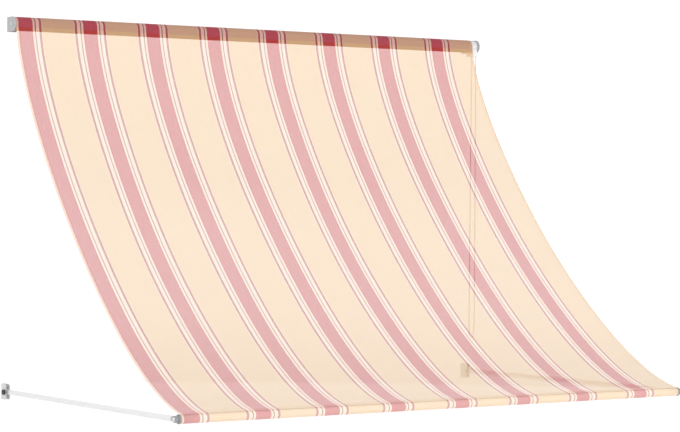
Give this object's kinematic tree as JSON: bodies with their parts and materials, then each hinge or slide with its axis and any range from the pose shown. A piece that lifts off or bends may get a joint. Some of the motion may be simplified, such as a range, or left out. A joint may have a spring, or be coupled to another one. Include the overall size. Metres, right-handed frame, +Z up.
{
  "type": "drop-arm fabric awning",
  "caption": "Wall-mounted drop-arm awning: striped cloth runs from a cord-driven roller to a front bar on two hinged arms that fold up under the roller.",
  "frame": {"origin": "on the wall plane, midway between the two arm pivots and at their height", "axes": "+Z up, -Y out from the wall, +X to the right for someone facing the awning"},
  "size_m": [2.3744, 1.5628, 1.5825],
  "materials": {
    "white_paint": "satin powder coat",
    "zinc": "satin zinc",
    "grey_casting": "satin grey paint",
    "black_plastic": "fine matte",
    "white_plastic": "semi-gloss",
    "striped_cloth": "woven, cream with red stripes",
    "cord": "braided"
  },
  "bodies": {
    "wall_frame": {"upper_bracket_left": "white_paint", "upper_bracket_right": "white_paint", "lower_bracket_left": "white_paint", "lower_bracket_right": "white_paint", "drive_housing": "white_plastic", "housing_screw_1": "zinc", "housing_screw_2": "zinc", "idle_pin": "zinc", "operating_cord": "cord", "pivot_bolt_left": "zinc", "pivot_bolt_right": "zinc", "washer_left_inner": "black_plastic", "washer_left_outer": "black_plastic", "washer_right_inner": "black_plastic", "washer_right_outer": "black_plastic", "awning_cloth": "striped_cloth"},
    "arms": {"arm_left": "white_paint", "arm_right": "white_paint", "arm_foot_left": "grey_casting", "arm_foot_right": "grey_casting", "bar_corner_left": "black_plastic", "bar_corner_right": "black_plastic", "bar_bolt_left": "zinc", "bar_bolt_right": "zinc", "front_bar": "white_paint", "hem_sleeve": "striped_cloth"},
    "roller": {"roller_tube": "zinc", "roller_plug_left": "black_plastic", "roller_plug_right": "black_plastic", "drive_pulley": "white_plastic", "cloth_roll": "striped_cloth"},
    "knob_left": {"clamp_knob_left": "black_plastic"},
    "knob_right": {"clamp_knob_right": "black_plastic"}
  },
  "joints": [
    {"name": "arms_fold", "type": "hinge", "parent": "wall_frame", "child": "arms", "pos_m": [0, -0.045, 0], "axis": [-1, 0, 0], "range_deg": [0, 83.5]},
    {"name": "roller_spin", "type": "hinge", "parent": "wall_frame", "child": "roller", "pos_m": [0, -0.055, 1.52], "axis": [-1, 0, 0], "range_deg": [0, 4200]},
    {"name": "knob_left_turn", "type": "hinge", "parent": "wall_frame", "child": "knob_left", "pos_m": [-1.1633, -0.045, 0], "axis": [-1, 0, 0], "range_deg": [0, 360]},
    {"name": "knob_right_turn", "type": "hinge", "parent": "wall_frame", "child": "knob_right", "pos_m": [1.1633, -0.045, 0], "axis": [1, 0, 0], "range_deg": [0, 360]}
  ],
  "couplings": [
    {"joint": "roller_spin", "follows": "arms_fold", "ratio": 50}
  ]
}
